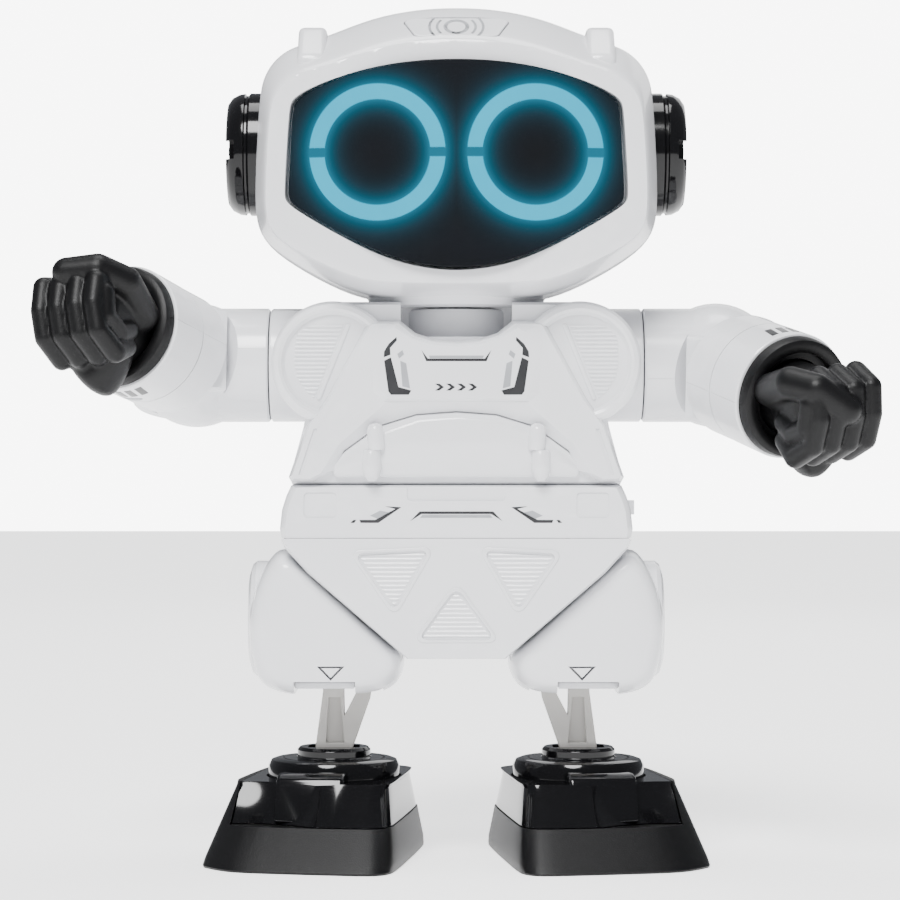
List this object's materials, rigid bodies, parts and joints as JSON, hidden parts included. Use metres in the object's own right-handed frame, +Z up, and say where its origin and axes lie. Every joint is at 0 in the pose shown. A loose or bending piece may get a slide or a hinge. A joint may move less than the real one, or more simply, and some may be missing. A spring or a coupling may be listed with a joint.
{
  "type": "toy robot",
  "caption": "Standing toy robot with a domed visor head that turns, jointed arms with fists, rocking legs on shoe-shaped feet, a belly panel and a rear battery door.",
  "frame": {"origin": "on the floor under the middle of the toy's overall box, between the two shoes", "axes": "+Z up, -Y the way the face looks, +X towards the robot's own left hand"},
  "size_m": [0.1947, 0.0897, 0.2035],
  "materials": {
    "white": "gloss",
    "gloss_black": "gloss",
    "matte_black": "matte",
    "smoke": "polished",
    "cyan": "satin",
    "warm_grey": "satin",
    "steel": "satin",
    "green": "satin",
    "nylon": "satin",
    "grey_tray": "matte",
    "cell_wrap": "satin"
  },
  "bodies": {
    "torso": {"torso_front_shell": "white", "torso_rear_shell": "white", "torso_screw_1": "steel", "torso_screw_2": "steel", "chest_plate": "white", "belly_plate": "white", "neck_post": "white", "battery_box": "grey_tray", "battery_cell_1": "cell_wrap", "battery_cell_2": "cell_wrap", "battery_cell_3": "cell_wrap", "battery_contact_left": "steel", "battery_contact_right": "steel", "circuit_board": "green", "speaker": "matte_black", "pelvis_front_shell": "white", "pelvis_rear_shell": "white", "pelvis_screw_1": "steel", "pelvis_screw_2": "steel", "drive_motor": "steel", "gearbox_plate": "warm_grey", "thigh_shell_left": "white", "thigh_shell_right": "white", "thigh_cap_left": "white", "thigh_cap_right": "white"},
    "head": {"head_front_shell": "white", "head_rear_shell": "white", "visor": "smoke", "light_board": "green", "eye_light_guide_left": "cyan", "eye_light_guide_right": "cyan", "ear_left": "gloss_black", "ear_right": "gloss_black", "neck_collar": "white"},
    "button": {"touch_button": "white"},
    "battery_cover": {"battery_door": "white"},
    "switch": {"power_switch": "matte_black"},
    "gear": {"drive_gear": "nylon"},
    "pinion": {"motor_pinion": "nylon"},
    "sway_link": {"sway_bar": "warm_grey"},
    "upper_arm_left": {"upper_arm_left": "white", "elbow_pin_left": "steel"},
    "forearm_left": {"forearm_left": "white", "forearm_cuff_left": "white"},
    "hand_left": {"wrist_ring_left": "matte_black", "fist_left": "matte_black"},
    "leg_left": {"leg_lever_left": "warm_grey"},
    "ankle_left": {"ankle_turret_left": "gloss_black"},
    "foot_left": {"shoe_upper_left": "gloss_black", "shoe_sole_left": "matte_black"},
    "upper_arm_right": {"upper_arm_right": "white", "elbow_pin_right": "steel"},
    "forearm_right": {"forearm_right": "white", "forearm_cuff_right": "white"},
    "hand_right": {"wrist_ring_right": "matte_black", "fist_right": "matte_black"},
    "leg_right": {"leg_lever_right": "warm_grey"},
    "ankle_right": {"ankle_turret_right": "gloss_black"},
    "foot_right": {"shoe_upper_right": "gloss_black", "shoe_sole_right": "matte_black"}
  },
  "joints": [
    {"name": "head_turn", "type": "hinge", "parent": "torso", "child": "head", "pos_m": [0, 0.0105, 0.1326], "axis": [0, 0, 1], "range_deg": [-45, 45]},
    {"name": "button_press", "type": "slide", "parent": "head", "child": "button", "axis": [0, 0.5812, -0.8137], "range_m": [0, 0.0012], "stiffness_N_per_m": 400, "springref_m": -0.0002},
    {"name": "switch_slide", "type": "slide", "parent": "torso", "child": "switch", "axis": [0, 1, 0], "range_m": [0, 0.004]},
    {"name": "battery_door_open", "type": "hinge", "parent": "torso", "child": "battery_cover", "pos_m": [0, 0.0355, 0.096], "axis": [-1, 0, 0], "range_deg": [0, 80]},
    {"name": "shoulder_turn_left", "type": "hinge", "parent": "torso", "child": "upper_arm_left", "pos_m": [0.045, 0.0105, 0.119], "axis": [1, 0, 0], "continuous": true},
    {"name": "elbow_bend_left", "type": "hinge", "parent": "upper_arm_left", "child": "forearm_left", "pos_m": [0.063, 0.0105, 0.119], "axis": [0, -0.2588, 0.9659], "range_deg": [0, 55]},
    {"name": "wrist_turn_left", "type": "hinge", "parent": "forearm_left", "child": "hand_left", "pos_m": [0.063, 0.0105, 0.119], "axis": [0.4384, -0.8682, -0.2326], "continuous": true},
    {"name": "shoulder_turn_right", "type": "hinge", "parent": "torso", "child": "upper_arm_right", "pos_m": [-0.045, 0.0105, 0.119], "axis": [1, 0, 0], "continuous": true},
    {"name": "elbow_bend_right", "type": "hinge", "parent": "upper_arm_right", "child": "forearm_right", "pos_m": [-0.063, 0.0105, 0.119], "axis": [0, -0.2588, -0.9659], "range_deg": [0, 55]},
    {"name": "wrist_turn_right", "type": "hinge", "parent": "forearm_right", "child": "hand_right", "pos_m": [-0.063, 0.0105, 0.119], "axis": [-0.4384, -0.8682, 0.2326], "continuous": true},
    {"name": "leg_sway_left", "type": "hinge", "parent": "torso", "child": "leg_left", "pos_m": [0.0277, 0.0105, 0.054], "axis": [0, 1, 0], "range_deg": [-8, 8]},
    {"name": "leg_sway_right", "type": "hinge", "parent": "torso", "child": "leg_right", "pos_m": [-0.0277, 0.0105, 0.054], "axis": [0, 1, 0], "range_deg": [-8, 8]},
    {"name": "sway_slide", "type": "slide", "parent": "torso", "child": "sway_link", "axis": [1, 0, 0], "range_m": [-0.0013, 0.0013]},
    {"name": "ankle_roll_left", "type": "hinge", "parent": "leg_left", "child": "ankle_left", "pos_m": [0.0297, 0.0105, 0.02], "axis": [0, 1, 0], "range_deg": [-8, 8]},
    {"name": "foot_swivel_left", "type": "hinge", "parent": "ankle_left", "child": "foot_left", "pos_m": [0.0297, 0.0105, 0], "axis": [0, 0, 1], "range_deg": [-15, 15]},
    {"name": "ankle_roll_right", "type": "hinge", "parent": "leg_right", "child": "ankle_right", "pos_m": [-0.0297, 0.0105, 0.02], "axis": [0, 1, 0], "range_deg": [-8, 8]},
    {"name": "foot_swivel_right", "type": "hinge", "parent": "ankle_right", "child": "foot_right", "pos_m": [-0.0297, 0.0105, 0], "axis": [0, 0, 1], "range_deg": [-15, 15]},
    {"name": "drive_gear_spin", "type": "hinge", "parent": "torso", "child": "gear", "pos_m": [0, 0.0105, 0.0628], "axis": [0, 1, 0], "continuous": true},
    {"name": "pinion_spin", "type": "hinge", "parent": "torso", "child": "pinion", "pos_m": [0, 0.0105, 0.0749], "axis": [0, 1, 0], "continuous": true}
  ],
  "couplings": [
    {"joint": "leg_sway_right", "follows": "leg_sway_left", "ratio": 1},
    {"joint": "sway_slide", "follows": "leg_sway_left", "m_per_rad": 0.0088},
    {"joint": "ankle_roll_left", "follows": "leg_sway_left", "ratio": -1},
    {"joint": "ankle_roll_right", "follows": "leg_sway_left", "ratio": -1},
    {"joint": "pinion_spin", "follows": "drive_gear_spin", "ratio": -4}
  ]
}
